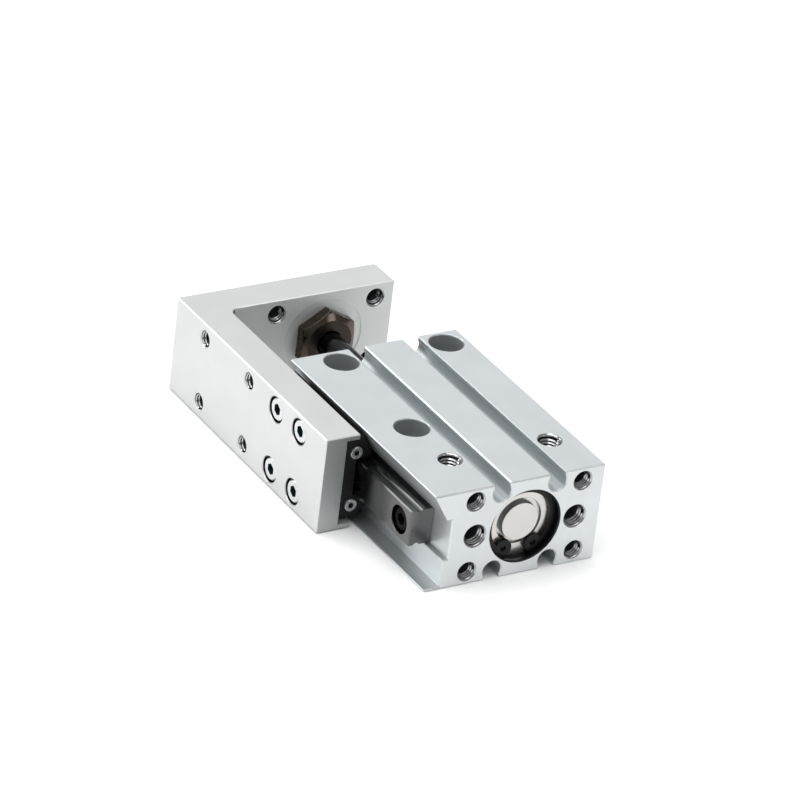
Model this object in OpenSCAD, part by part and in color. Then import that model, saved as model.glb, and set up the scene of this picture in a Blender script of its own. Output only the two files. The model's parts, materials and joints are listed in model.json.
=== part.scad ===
// Pneumatic slide table: a compact cylinder with a miniature ball guide on its side and an
// L-shaped table carried by the guide and driven by the piston rod.
// Frame: the origin is where the cylinder axis meets the rear face. +Y is the way the table
// extends, +Z is up, and -X is the guide side. The table is drawn fully extended.

/* [Stroke] */
// Travel of the table
stroke = 25; // [15:1:40]
// Length of the body beyond the stroke
body_extra = 41; // [40:0.5:50]

/* [Body] */
// Height of the body
body_h = 24.5; // [24:0.5:28]
// Cylinder axis to the plain side of the body
body_right = 19.7; // [19:0.1:24]
// Cylinder axis to the guide side of the body
body_left = 24.8; // [24.6:0.1:26]
// Chamfer along the long outer edges of the body
body_edge = 0.3; // [0.1:0.1:0.6]

/* [Guide recess of the body] */
// Depth of the recess wall from the guide side
recess_depth = 4; // [3.6:0.1:4.4]
// Height of the recess wall's upper edge above the axis
overhang_foot = 5.4; // [5.2:0.1:6]
// Depth of the rail seat from the guide side
seat_depth = 5.2; // [4.9:0.1:5.6]
// Space between the rail's side and the step of its seat
seat_gap = 0.4; // [0.2:0.1:0.6]
// Thickness of the lip along the bottom of the recess
lip_t = 0.7; // [0.5:0.1:1]

/* [Switch grooves] */
// Cylinder axis to the middle of a groove
groove_x = 7.25; // [7:0.05:7.5]
// Width of a groove's mouth
groove_mouth = 4; // [3.4:0.1:4.2]
// Diameter of the round bottom of a groove
groove_d = 4.7; // [4.5:0.1:5]
// Depth of the round bottom's centre below the surface
groove_sink = 2.15; // [1.9:0.05:2.3]

/* [Mounting holes] */
// Sideways distance from the axis to the mounting holes
hole_x = 14; // [13.8:0.1:14.4]
// Distance between the mounting holes along the body
hole_pitch = 32; // [28:1:34]
// Front end of the body to the first mounting holes
hole_front = 5; // [4.8:0.1:5.4]
// Diameter of the through holes
through_d = 4.3; // [4:0.1:4.5]
// Diameter of the counterbores
counterbore_d = 8; // [7.4:0.1:8.2]
// Depth of the counterbores
counterbore_h = 4.4; // [3:0.1:5]
// Rise of the rear corner holes above and below the axis
corner_z = 9; // [8.9:0.05:9.2]
// Thread diameter of the rear corner holes
corner_d = 4; // [3.5:0.5:4]
// Depth of the rear corner holes
corner_h = 8; // [6:0.5:9]

/* [Air ports] */
// Sideways distance from the axis to the ports
port_x = 13.1; // [12.8:0.1:13.4]
// Rear face to the top ports
port_y = 13.6; // [13:0.1:15]
// Thread diameter of the ports
port_d = 5; // [4.6:0.1:5.2]
// Depth of the port threads
port_h = 6; // [5:0.5:7]
// Diameter of the air passages behind the threads
passage_d = 3; // [2.5:0.1:3.2]
// Diameter of the small holes into the bore
inlet_d = 1.2; // [1:0.1:1.3]
// Chamfer at the mouth of a threaded hole
mouth_edge = 0.5; // [0.2:0.1:0.6]

/* [Bore and covers] */
// Cylinder bore
bore_d = 16; // [15:0.1:16.4]
// Bore of the recesses that hold the covers
recess_d = 18; // [17.6:0.1:18.2]
// Depth of each cover recess
recess_h = 10; // [9.5:0.1:10.5]
// Rear face to the rear retaining ring
ring_depth = 1.6; // [1.2:0.1:1.8]
// Front face to the front retaining ring
front_ring_depth = 3.8; // [3.6:0.1:4]
// Thickness of a retaining ring
ring_t = 1; // [0.8:0.1:1.1]
// Depth of the retaining ring's groove
ring_groove = 0.5; // [0.3:0.05:0.55]
// Radial width of a retaining ring inside its groove
ring_w = 1.35; // [1.1:0.05:1.5]
// Diameter of a retaining ring's ears
ear_d = 4.4; // [3.6:0.1:4.4]
// Diameter of the holes in the ears
ear_hole = 1.4; // [1.2:0.1:1.6]
// Length of a cover's spigot in the bore
spigot_h = 1; // [0.8:0.1:1.2]
// Diameter of the head cover's centre boss
boss_d = 9.4; // [8.8:0.1:10]
// Height of the boss above the rim of the head cover
boss_h = 0.6; // [0.3:0.1:0.9]
// Width of the turned groove round the boss
boss_groove = 1.1; // [0.8:0.1:1.3]
// Cord diameter of the cover O-rings
oring_d = 1.5; // [1.2:0.1:1.6]
// Thickness of the cushion rings on the covers
bumper_t = 1.2; // [1:0.1:1.4]

/* [Piston and rod] */
// Diameter of the piston rod
rod_d = 6; // [5:0.1:6.4]
// Space between the bumpers and the piston at the ends of the travel
end_gap = 0.3; // [0.2:0.05:0.5]
// Width of the piston seal
seal_w = 2; // [1.6:0.1:2.2]
// Width of the ring magnet
magnet_w = 3; // [2:0.1:3.4]
// Width of the wear ring
wear_w = 3; // [2:0.1:3.4]
// Depth of the grooves in the piston
piston_groove = 2; // [1.6:0.1:2.4]
// Wall of the rod bushing
bushing_wall = 1; // [0.8:0.1:1.2]
// Radial width of the rod seal
rod_seal_w = 1.8; // [1.4:0.1:2]
// Length of the rod seal
rod_seal_h = 1.8; // [1.4:0.1:1.9]

/* [Floating bushing] */
// Width across the flats of the hexagon
hex_af = 14; // [12:0.5:14]
// Thickness of the hexagon
hex_h = 3.4; // [2.8:0.1:3.5]
// Diameter of the turned circle on the face of the hexagon
hex_face_d = 11.8; // [11:0.1:12]
// Thread diameter of its shank
shank_d = 10; // [9.6:0.1:10.4]
// Length of its shank
shank_h = 4; // [3.4:0.1:4.4]
// Diameter of the collar on the rod's end
collar_d = 8; // [7.4:0.1:8.4]
// Thickness of the collar on the rod's end
collar_h = 2; // [1.6:0.1:2.2]

/* [Guide rail] */
// Width of the rail
rail_w = 9; // [8.8:0.1:9]
// Height of the rail
rail_h = 6; // [5.8:0.1:6.2]
// Rear face to the rear end of the rail
rail_rear = 7.6; // [7:0.1:9]
// Front face to the front end of the rail
rail_front = 0.6; // [0.3:0.1:1.2]
// Rear end of the rail to its first hole
rail_hole_end = 4.6; // [4.2:0.1:6]
// Distance between the rail's holes
rail_pitch = 20; // [18:0.5:20]
// Counterbore of the rail's holes
rail_cb_d = 6.5; // [6.2:0.1:6.8]
// Depth of that counterbore
rail_cb_h = 3.4; // [3.2:0.1:3.6]

/* [Carriage] */
// Height from the rail's seat to the top of the carriage
guide_h = 10; // [9.8:0.1:10.4]
// Width of the carriage
carriage_w = 20; // [19:0.1:20.4]
// Length of the carriage over its end seals
carriage_l = 32; // [30:0.5:33]
// Thickness of an end cap
cap_t = 4.2; // [3.6:0.1:4.6]
// Thickness of an end seal
seal_t = 0.8; // [0.6:0.1:1]
// Diameter of the balls
ball_d = 1.6; // [1.4:0.1:1.7]
// Top of the rail to the ball tracks
track_sink = 2.3; // [2:0.1:2.6]
// Space between the front end of the carriage and that of the body
carriage_front = 2.2; // [1.8:0.1:3]

/* [Slide table] */
// Thickness of the table's side plate over the carriage
plate_t = 5.6; // [5:0.1:6.4]
// Thickness of the end plate
end_t = 9.1; // [8.8:0.1:10]
// Cylinder axis to the free end of the end plate
end_right = 18.2; // [17:0.1:19]
// Space between the end plate and the body when the table is in
nest_gap = 1; // [0.8:0.1:1.4]
// Space between the table and the planes of the body's top and bottom
table_gap = 0.2; // [0.1:0.05:0.4]
// Space between the table's lips and the side of the body
lip_gap = 1.6; // [1.2:0.1:1.8]
// Height of the channel that takes the carriage
channel_h = 21.4; // [21.2:0.1:21.8]
// Length of the table behind the carriage
table_rear = 1.4; // [1:0.1:2]
// Distance between the carriage screws along the table
screw_pitch = 10.6; // [10:0.1:11]
// Distance between the carriage screws across the table
screw_rise = 15.6; // [15.2:0.1:15.8]
// Distance between the threaded holes along the side plate
side_pitch = 21; // [20:0.1:22]
// Front face to the first threaded holes of the side plate
side_end = 14; // [13:0.1:15]
// Distance between the threaded holes across the table
table_rise = 16.6; // [16:0.1:16.8]
// Distance between the threaded holes along the end plate
end_pitch = 26.6; // [26:0.1:27]
// Thread diameter of the table's threaded holes
table_thread_d = 4; // [3.5:0.5:4]
// Radius of the inner corner of the L
corner_r = 2.4; // [1.6:0.1:2.6]
// Chamfer along the long outer edges of the table
table_edge = 0.3; // [0.1:0.1:0.5]
// Chamfer of the free front corner of the end plate
end_edge = 0.8; // [0.3:0.1:1.2]
// Chamfer at the mouths of the threaded holes in the side plate
side_mouth = 0.3; // [0.1:0.1:0.5]
// Diameter of the shallow turned face round the bushing
spot_d = 20.6; // [19:0.1:21]

/* [Screws] */
// Thread diameter of the carriage and rail screws
screw_d = 3; // [2.6:0.1:3]
// Head diameter of the carriage and rail screws
head_d = 5.5; // [5.2:0.1:5.7]
// Head height of the carriage and rail screws
head_h = 2.9; // [2.4:0.1:3]
// Counterbore of the carriage screws
screw_cb_d = 6.2; // [6:0.1:6.4]
// Width across the flats of their sockets
socket_af = 2.5; // [2:0.1:2.7]
// Thread diameter of the end-cap screws
cap_screw_d = 1.8; // [1.4:0.1:2]
// Head diameter of the end-cap screws
cap_head_d = 3; // [2.6:0.1:3.2]

/* [Hidden] */
$fn = 64;

eps = 0.01;                 // makes a cut pass its surface
seat = 0.02;                // space round a piece that sits in its own body
running = 0.04;             // radial space of a moving fit
guide_gap = 0.2;            // space between the rail and the carriage block
cap_gap = 0.5;              // space between the rail and the end caps
wipe_gap = 0.15;            // space between the rail and the end seals
wall_gap = 0.6;             // space between the carriage and the recess wall

body_l = stroke + body_extra;
half_h = body_h / 2;
side_x = -body_left;                        // guide side of the body
wall_x = side_x + recess_depth;             // recess wall
seat_x = side_x + seat_depth;               // rail seat
rail_x = seat_x - rail_h;                   // outer face of the rail
deck_x = seat_x - guide_h;                  // top of the carriage
table_x = deck_x - plate_t;                 // outer face of the table
lip_x = side_x - lip_gap;                   // inner edge of the table's lips
seat_low = -(rail_w / 2 + seat_gap);        // step under the rail
overhang = [recess_depth, half_h - overhang_foot];
overhang_slope = overhang[1] / overhang[0];

head_y = recess_h + spigot_h;               // inner face of the head cover
rod_cover_y = body_l - recess_h - spigot_h; // inner face of the rod cover
piston_l = rod_cover_y - head_y - stroke - 2 * (bumper_t + end_gap);
piston_front = rod_cover_y - bumper_t - end_gap;
piston_rear = piston_front - piston_l;
piston_d = bore_d - 2 * running;
groove_floor_d = piston_d - 2 * piston_groove;
nut_h = 3;
nut_af = 7;
nut_sink = 0.5;              // rear face of the piston to its nut
stud_d = 4;
stud_back = 0.2;             // end of the rod's stud behind the piston's rear face

table_h = body_h - 2 * table_gap;
plate_y = body_l + stroke + nest_gap;       // inner face of the end plate
front_y = plate_y + end_t;                  // front face of the table
carriage_end = body_l - carriage_front;
carriage_start = carriage_end - carriage_l;
carriage_mid = (carriage_start + carriage_end) / 2;
table_start = carriage_start - table_rear;
block_start = carriage_start + cap_t + seal_t;
block_end = carriage_end - cap_t - seal_t;
track_x = rail_x + track_sink;
track_z = rail_w / 2 + guide_gap + 0.15;
track_d = ball_d + 2 * running;
return_x = track_x - 1.3;                   // return channels of the balls
return_z = track_z + 3.35;
skirt_x = seat_x - 2.6;                     // edge of the carriage next to the rail seat
chamber_x = rail_x - 0.5;                   // hollow of the carriage over the rail
cap_screw_z = 6.8;
cap_screw_x = chamber_x - 0.3;
cap_screw_bite = 1.8;                       // length of thread of the end-cap screws in the block
screw_bite = 2.6;                           // length of thread in the carriage block
screw_cb_h = head_h + 0.3;
rail_screw_bite = 3;
rail_hole_y = rail_rear + rail_hole_end;
rail_l = body_l - rail_rear - rail_front;
rail_holes = floor((rail_l - 2 * rail_hole_end) / rail_pitch);
collar_y = plate_y + shank_h + 0.1;         // back of the rod's collar
pocket_h = shank_h + collar_h + 0.2;        // threaded pocket in the end plate

// A cylinder along +Y from y to y + h, on the cylinder axis unless x and z are given
module y_rod(d, y, h, x = 0, z = 0) {
    translate([x, y, z]) rotate([-90, 0, 0]) cylinder(d = d, h = h);
}

// A cone along +Y from diameter d1 at y to d2 at y + h
module y_cone(d1, d2, y, h, x = 0, z = 0) {
    translate([x, y, z]) rotate([-90, 0, 0]) cylinder(d1 = d1, d2 = d2, h = h);
}

// A cylinder along +X from x to x + h
module x_rod(d, x, h, y = 0, z = 0) {
    translate([x, y, z]) rotate([0, 90, 0]) cylinder(d = d, h = h);
}

// A ring round the cylinder axis
module y_ring(outer, inner, y, h) {
    difference() {
        y_rod(outer, y, h);
        y_rod(inner, y - eps, h + 2 * eps);
    }
}

// A profile drawn in X and Z, pulled along +Y from y to y + h
module y_bar(y, h) {
    translate([0, y + h, 0]) rotate([90, 0, 0]) linear_extrude(height = h) children();
}

// A cut with a chamfered mouth that opens towards -Y at y
module y_mouth(d, y, h, x, z) {
    y_rod(d, y - eps, h + eps, x, z);
    y_cone(d + 2 * (mouth_edge + eps), d, y - eps, mouth_edge + eps, x, z);
}

// A socket head cap screw: its head's top is at the origin and it points along +Z
module cap_screw(length) {
    difference() {
        union() {
            translate([0, 0, 0.3]) cylinder(d = head_d, h = head_h - 0.3);
            cylinder(d1 = head_d - 0.6, d2 = head_d, h = 0.3);
            translate([0, 0, head_h - eps]) cylinder(d = screw_d, h = length + eps);
        }
        translate([0, 0, -eps]) cylinder(d = socket_af / cos(30), h = head_h * 0.55, $fn = 6);
    }
}

// ---- body ----

// One keyhole groove on the top, running the full length
module switch_groove(x) {
    y_rod(groove_d, -eps, body_l + 2 * eps, x, half_h - groove_sink);
    translate([x - groove_mouth / 2, -eps, half_h - groove_sink])
        cube([groove_mouth, body_l + 2 * eps, groove_sink + eps]);
}

module body_profile() {
    e = body_edge;
    polygon([
        [side_x + e, half_h], [body_right - e, half_h], [body_right, half_h - e],
        [body_right, -half_h + e], [body_right - e, -half_h], [side_x, -half_h],
        [side_x, -half_h + lip_t], [wall_x, -half_h + lip_t], [wall_x, seat_low],
        [seat_x, seat_low], [seat_x, overhang_foot], [wall_x, overhang_foot],
        [side_x + e / 2, half_h - e / 2 * overhang_slope]
    ]);
}

module cover_recess(y0, y1, ring_y) {
    y_rod(recess_d, y0, y1 - y0);
    y_rod(recess_d + 2 * ring_groove, ring_y, ring_t + 0.1);
}

module mounting_hole(x, y) {
    translate([x, y, -half_h - eps]) cylinder(d = through_d, h = body_h + 2 * eps);
    translate([x, y, half_h - counterbore_h]) cylinder(d = counterbore_d, h = counterbore_h + eps);
}

// A rear port, the top port that meets it, and the passage that leads on to y_end
module port_pair(side, y_end) {
    x = side * port_x;
    y_mouth(port_d, 0, port_h, x, 0);
    y_rod(passage_d, port_h - eps, y_end - port_h + eps, x, 0);
    translate([x, port_y, 0]) cylinder(d = passage_d, h = half_h);
    translate([x, port_y, half_h - port_h]) cylinder(d = port_d, h = port_h + eps);
    translate([x, port_y, half_h - mouth_edge])
        cylinder(d1 = port_d, d2 = port_d + 2 * (mouth_edge + eps), h = mouth_edge + eps);
}

module inlet(side, y) {
    reach = port_x - bore_d / 2 + 1;
    x_rod(inlet_d, side > 0 ? port_x - reach : -port_x, reach, y, 0);
}

module cylinder_body() color([0.80, 0.81, 0.82]) difference() {
    y_bar(0, body_l) body_profile();
    y_rod(bore_d, -eps, body_l + 2 * eps);
    cover_recess(-eps, recess_h, ring_depth);
    cover_recess(body_l - recess_h, body_l + eps, body_l - front_ring_depth - ring_t - 0.1);
    for (x = [-groove_x, groove_x]) {
        switch_groove(x);
        mirror([0, 0, 1]) switch_groove(x);
    }
    front_hole_y = body_l - hole_front;
    mounting_hole(-hole_x, front_hole_y);
    mounting_hole(hole_x, front_hole_y);
    mounting_hole(-hole_x, front_hole_y - hole_pitch);
    for (x = [-hole_x, hole_x], z = [-corner_z, corner_z]) y_mouth(corner_d, 0, corner_h, x, z);
    port_pair(-1, port_y + passage_d / 2);
    port_pair(1, rod_cover_y - inlet_d / 2);
    inlet(-1, head_y + (bumper_t + end_gap) / 2);
    inlet(1, rod_cover_y - (bumper_t + end_gap) / 2);
    for (i = [0:rail_holes]) x_rod(screw_d + 2 * seat, seat_x - eps, rail_screw_bite + 0.2 + eps,
        rail_hole_y + i * rail_pitch);
}

// ---- covers, rings and seals ----

// A retaining ring with an open bottom and two eared ends, its back face at y
module retaining_ring(y) {
    outer = recess_d + 2 * ring_groove - 2 * seat;
    inner = recess_d - 2 * ring_w;
    ear_r = outer / 2 - ear_d / 2 - 0.1;
    gap_half = 20;                          // half angle of the opening
    ear_turn = 13;                          // the ears' middles from the opening
    ear_a = gap_half + ear_turn;
    difference() {
        union() {
            difference() {
                y_rod(outer, y, ring_t);
                y_rod(inner, y - eps, ring_t + 2 * eps);
                y_bar(y - eps, ring_t + 2 * eps) polygon([[0, 0],
                    for (a = [-gap_half:gap_half / 2:gap_half]) 2 * recess_d * [sin(a), -cos(a)]]);
            }
            for (s = [-1, 1]) y_rod(ear_d, y, ring_t, s * ear_r * sin(ear_a), -ear_r * cos(ear_a));
        }
        for (s = [-1, 1])
            y_rod(ear_hole, y - eps, ring_t + 2 * eps, s * ear_r * sin(ear_a), -ear_r * cos(ear_a));
    }
}

module head_retaining_ring() color([0.1, 0.1, 0.11]) retaining_ring(ring_depth + 0.05);

module rod_cover_retaining_ring() color([0.1, 0.1, 0.11])
    retaining_ring(body_l - front_ring_depth - ring_t - 0.05);

// O-ring groove round a cover, centred at y
module oring_groove(y) {
    y_ring(recess_d + 2, recess_d - 2 * oring_d, y - oring_d * 0.6, oring_d * 1.2);
}

module oring(y) {
    w = oring_d - 4 * seat;
    translate([0, y, 0]) rotate([90, 0, 0]) rotate_extrude()
        translate([recess_d / 2 - oring_d / 2 - seat, 0]) circle(d = w);
}

cover_d = recess_d - 2 * seat;
head_back = ring_depth + ring_t + 0.1;      // rim of the head cover
head_oring_y = recess_h - oring_d * 0.6 - 1;
rod_back = body_l - front_ring_depth - ring_t - 0.1;
rod_oring_y = body_l - recess_h + oring_d * 0.6 + 1;

module head_cover() color([0.86, 0.86, 0.87]) difference() {
    union() {
        y_rod(cover_d, head_back, recess_h - seat - head_back);
        y_rod(bore_d - 2 * seat, recess_h - 2 * seat, spigot_h + 2 * seat);
        y_rod(boss_d, head_back - boss_h, boss_h + eps);
    }
    y_ring(boss_d + 2 * boss_groove, boss_d, head_back - eps, 0.8);
    oring_groove(head_oring_y);
}

module head_cover_oring() color([0.08, 0.08, 0.08]) oring(head_oring_y);

bumper_outer = bore_d - 4;
bumper_inner = rod_d + 2.4;

module head_bumper() color([0.2, 0.28, 0.5])
    y_ring(bumper_outer, bumper_inner, head_y, bumper_t);

module rod_bumper() color([0.2, 0.28, 0.5])
    y_ring(bumper_outer, bumper_inner, rod_cover_y - bumper_t, bumper_t);

seal_bore = rod_d + 2 * rod_seal_w;
bushing_bore = rod_d + 2 * bushing_wall;
rod_seal_y = rod_back - 0.5 - rod_seal_h;

module rod_cover() color([0.86, 0.86, 0.87]) difference() {
    union() {
        y_rod(cover_d, body_l - recess_h + seat, rod_back - body_l + recess_h - seat);
        y_rod(bore_d - 2 * seat, rod_cover_y, spigot_h + 2 * seat);
    }
    y_rod(bushing_bore, rod_cover_y - eps, rod_back - rod_cover_y + 2 * eps);
    y_rod(seal_bore, rod_seal_y, rod_back - rod_seal_y + eps);
    oring_groove(rod_oring_y);
}

module rod_cover_oring() color([0.08, 0.08, 0.08]) oring(rod_oring_y);

module rod_bushing() color([0.55, 0.45, 0.28])
    y_ring(bushing_bore - 2 * seat, rod_d + 2 * running, rod_cover_y, rod_seal_y - rod_cover_y);

module rod_seal() color([0.08, 0.08, 0.08]) difference() {
    y_ring(seal_bore - 2 * seat, rod_d + 2 * running, rod_seal_y + seat, rod_seal_h);
    y_ring(seal_bore - rod_seal_w * 0.8, rod_d + rod_seal_w * 0.8, rod_seal_y, rod_seal_h * 0.5);
}

// ---- guide ----

rail_edge = 0.3;                            // chamfer round the rail's outer face

module rail_profile() {
    e = rail_edge;
    w = rail_w / 2;
    difference() {
        polygon([[seat_x, -w], [seat_x, w], [rail_x + e, w], [rail_x, w - e], [rail_x, e - w],
            [rail_x + e, -w]]);
        for (s = [-1, 1]) translate([track_x, s * track_z]) circle(d = track_d);
    }
}

// The rail's bar, with its ends chamfered at the outer face
module rail_bar() intersection() {
    e = rail_edge;
    y_bar(rail_rear - eps, rail_l + 2 * eps) rail_profile();
    translate([0, 0, -rail_w]) linear_extrude(height = 2 * rail_w) polygon([
        [seat_x + eps, rail_rear], [rail_x + e, rail_rear], [rail_x, rail_rear + e],
        [rail_x, rail_rear + rail_l - e], [rail_x + e, rail_rear + rail_l],
        [seat_x + eps, rail_rear + rail_l]]);
}

module guide_rail() color([0.55, 0.55, 0.56]) difference() {
    rail_bar();
    for (i = [0:rail_holes]) {
        y = rail_hole_y + i * rail_pitch;
        x_rod(screw_d + 0.4, rail_x - eps, rail_h + 2 * eps, y);
        x_rod(rail_cb_d, rail_x - eps, rail_cb_h + eps, y);
    }
}

module rail_screws() color([0.12, 0.12, 0.13])
    for (i = [0:rail_holes]) translate([rail_x + rail_cb_h - head_h, rail_hole_y + i * rail_pitch, 0])
        rotate([0, 90, 0]) cap_screw(rail_h - rail_cb_h + rail_screw_bite);

// Outline of the carriage: square at the table, bevelled along the overhang of the body.
// width is over all, play is the space to the rail and top is the outer face.
module carriage_profile(width, play, top, inner) {
    w = width / 2;
    lean = wall_gap * sqrt(1 + overhang_slope * overhang_slope);
    bevel_x = side_x - (w - half_h + lean) / overhang_slope;
    skirt_z = half_h - lean - (skirt_x - side_x) * overhang_slope;
    r = rail_w / 2 + play;
    polygon([[top, w], [bevel_x, w], [skirt_x, skirt_z], [skirt_x, r], [inner, r], [inner, -r],
        [skirt_x, -r], [skirt_x, -skirt_z], [bevel_x, -w], [top, -w]]);
}

module carriage_block() color([0.50, 0.50, 0.52]) difference() {
    y_bar(block_start, block_end - block_start) difference() {
        carriage_profile(carriage_w, guide_gap, deck_x, chamber_x);
        for (s = [-1, 1]) {
            translate([track_x, s * track_z]) circle(d = track_d);
            translate([return_x, s * return_z]) circle(d = track_d);
        }
    }
    for (y = [-screw_pitch / 2, screw_pitch / 2], z = [-screw_rise / 2, screw_rise / 2])
        x_rod(screw_d + 2 * seat, deck_x - eps, screw_bite + 0.2 + eps, carriage_mid + y, z);
    for (z = [-cap_screw_z, cap_screw_z])
        for (y = [block_start - eps, block_end - cap_screw_bite - 0.4])
            y_rod(cap_screw_d + 2 * seat, y, cap_screw_bite + 0.4 + eps, cap_screw_x, z);
}

module end_cap_body(y) difference() {
    y_bar(y, cap_t) carriage_profile(channel_h - 0.6, cap_gap, deck_x + 0.3, chamber_x);
    for (z = [-cap_screw_z, cap_screw_z])
        y_rod(cap_screw_d + 2 * seat, y - eps, cap_t + 2 * eps, cap_screw_x, z);
}

module end_seal_body(y) difference() {
    y_bar(y, seal_t) carriage_profile(channel_h - 1, wipe_gap, deck_x + 0.5, chamber_x + 0.3);
    for (z = [-cap_screw_z, cap_screw_z])
        y_rod(cap_screw_d + 2 * seat, y - eps, seal_t + 2 * eps, cap_screw_x, z);
}

module rear_end_cap() color([0.09, 0.09, 0.1]) end_cap_body(carriage_start + seal_t);
module front_end_cap() color([0.09, 0.09, 0.1]) end_cap_body(block_end);
module rear_end_seal() color([0.07, 0.07, 0.07]) end_seal_body(carriage_start);
module front_end_seal() color([0.07, 0.07, 0.07]) end_seal_body(carriage_end - seal_t);

// A low round head with a cross-free socket, on the seal, with its thread through the cap
module end_cap_screw(z) {
    head = 0.8;
    difference() {
        union() {
            y_rod(cap_head_d, carriage_start - head, head, cap_screw_x, z);
            y_rod(cap_screw_d, carriage_start - eps, seal_t + cap_t + cap_screw_bite, cap_screw_x, z);
        }
        y_rod(cap_head_d * 0.45, carriage_start - head - eps, head * 0.7, cap_screw_x, z);
    }
}

module end_cap_screws() color([0.75, 0.75, 0.76]) for (z = [-cap_screw_z, cap_screw_z]) {
    end_cap_screw(z);
    translate([0, 2 * carriage_mid, 0]) mirror([0, 1, 0]) end_cap_screw(z);
}

module guide_balls() color([0.85, 0.85, 0.87]) {
    pitch = ball_d + 0.1;
    count = floor((block_end - block_start) / pitch);
    start = carriage_mid - (count - 1) * pitch / 2;
    for (i = [0:count - 1], s = [-1, 1]) {
        translate([track_x, start + i * pitch, s * track_z]) sphere(d = ball_d);
        translate([return_x, start + i * pitch, s * return_z]) sphere(d = ball_d);
    }
}

// ---- table ----

// The L of the side plate and the end plate, its outer edges chamfered
module table_blank() intersection() {
    e = table_edge;
    top = table_h / 2;
    translate([0, 0, -half_h]) linear_extrude(height = body_h) {
        polygon([
            [table_x, table_start], [lip_x, table_start], [lip_x, plate_y], [end_right, plate_y],
            [end_right, front_y - end_edge], [end_right - end_edge, front_y],
            [table_x + e, front_y], [table_x, front_y - e]]);
        difference() {
            translate([lip_x - eps, plate_y - corner_r]) square(corner_r + eps);
            translate([lip_x + corner_r, plate_y - corner_r]) circle(r = corner_r);
        }
    }
    y_bar(table_start - eps, front_y - table_start + 2 * eps) polygon([
        [table_x + e, top], [end_right - e, top], [end_right, top - e], [end_right, e - top],
        [end_right - e, -top], [table_x + e, -top], [table_x, e - top], [table_x, top - e]]);
}

module slide_table() color([0.88, 0.88, 0.89]) difference() {
    table_blank();
    // Channel that takes the carriage
    translate([deck_x, table_start - eps, -channel_h / 2])
        cube([lip_x - deck_x + corner_r + eps, plate_y - table_start + eps, channel_h]);
    // Carriage screws
    for (y = [-screw_pitch / 2, screw_pitch / 2], z = [-screw_rise / 2, screw_rise / 2]) {
        x_rod(screw_cb_d, table_x - eps, screw_cb_h + eps, carriage_mid + y, z);
        x_rod(screw_d + 0.4, table_x - eps, plate_t + 2 * eps, carriage_mid + y, z);
    }
    // Threaded holes of the side plate
    for (y = [front_y - side_end, front_y - side_end - side_pitch],
         z = [-table_rise / 2, table_rise / 2]) {
        x_rod(table_thread_d, table_x - eps, plate_t + 2 * eps, y, z);
        translate([table_x - eps, y, z]) rotate([0, 90, 0]) cylinder(
            d1 = table_thread_d + 2 * (side_mouth + eps), d2 = table_thread_d,
            h = side_mouth + eps);
    }
    // Threaded holes of the end plate, chamfered at both faces
    for (x = [-end_pitch / 2, end_pitch / 2], z = [-table_rise / 2, table_rise / 2]) {
        y_mouth(table_thread_d, plate_y, end_t + eps, x, z);
        y_cone(table_thread_d, table_thread_d + 2 * (mouth_edge + eps), front_y - mouth_edge,
            mouth_edge + eps, x, z);
    }
    // Turned face and threaded pocket for the floating bushing
    y_rod(spot_d, plate_y - eps, 0.2 + eps);
    y_rod(shank_d + 2 * seat, plate_y - eps, pocket_h + eps);
}

module table_screws() color([0.78, 0.78, 0.79])
    for (y = [-screw_pitch / 2, screw_pitch / 2], z = [-screw_rise / 2, screw_rise / 2])
        translate([table_x + screw_cb_h - head_h, carriage_mid + y, z])
            rotate([0, 90, 0]) cap_screw(plate_t - screw_cb_h + screw_bite);

// ---- bushing, rod and piston ----

module floating_bushing() color([0.32, 0.28, 0.26]) difference() {
    hex_corner = hex_af / cos(30) + 0.2;
    hex_slope = (hex_corner - hex_face_d) / 2 * tan(30);
    union() {
        intersection() {
            translate([0, plate_y + 0.2 - hex_h, 0]) rotate([-90, 30, 0])
                cylinder(d = hex_af / cos(30), h = hex_h, $fn = 6);
            union() {
                y_cone(hex_face_d, hex_corner, plate_y + 0.2 - hex_h, hex_slope);
                y_rod(hex_corner, plate_y + 0.2 - hex_h + hex_slope, hex_h);
            }
        }
        y_rod(shank_d, plate_y + 0.2 - eps, shank_h - 0.2 + eps);
    }
    y_rod(rod_d + 0.5, plate_y - hex_h, hex_h + shank_h + 1);
}

module piston_rod() color([0.70, 0.70, 0.72]) union() {
    y_rod(rod_d, piston_front, collar_y - piston_front + eps);
    y_rod(collar_d, collar_y, collar_h);
    y_rod(stud_d, piston_rear + stud_back, piston_l);
}

// The lands between the piston's three rings, and where each ring's groove starts
piston_land = (piston_l - seal_w - magnet_w - wear_w) / 4;
wear_y = piston_rear + piston_land;
magnet_y = wear_y + wear_w + piston_land;
seal_y = magnet_y + magnet_w + piston_land;

module piston() color([0.78, 0.78, 0.80]) difference() {
    y_rod(piston_d, piston_rear, piston_l);
    y_rod(stud_d + 2 * seat, piston_rear - eps, piston_l + 2 * eps);
    y_ring(bore_d, groove_floor_d, wear_y, wear_w);
    y_ring(bore_d, groove_floor_d, magnet_y, magnet_w);
    y_ring(bore_d, groove_floor_d, seal_y, seal_w);
    // Pocket for the nut
    y_rod(nut_af / cos(30) + 1, piston_rear - eps, nut_h + nut_sink + 0.1);
}

module groove_ring(y, w, outer) {
    y_ring(outer, groove_floor_d + 2 * seat, y + seat, w - 2 * seat);
}

module piston_wear_ring() color([0.75, 0.72, 0.62])
    groove_ring(wear_y, wear_w, bore_d - 2 * running + 0.02);

module piston_magnet() color([0.2, 0.2, 0.22])
    groove_ring(magnet_y, magnet_w, piston_d - 0.4);

module piston_seal() color([0.08, 0.08, 0.08])
    groove_ring(seal_y, seal_w, bore_d - 2 * running + 0.02);

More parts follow.
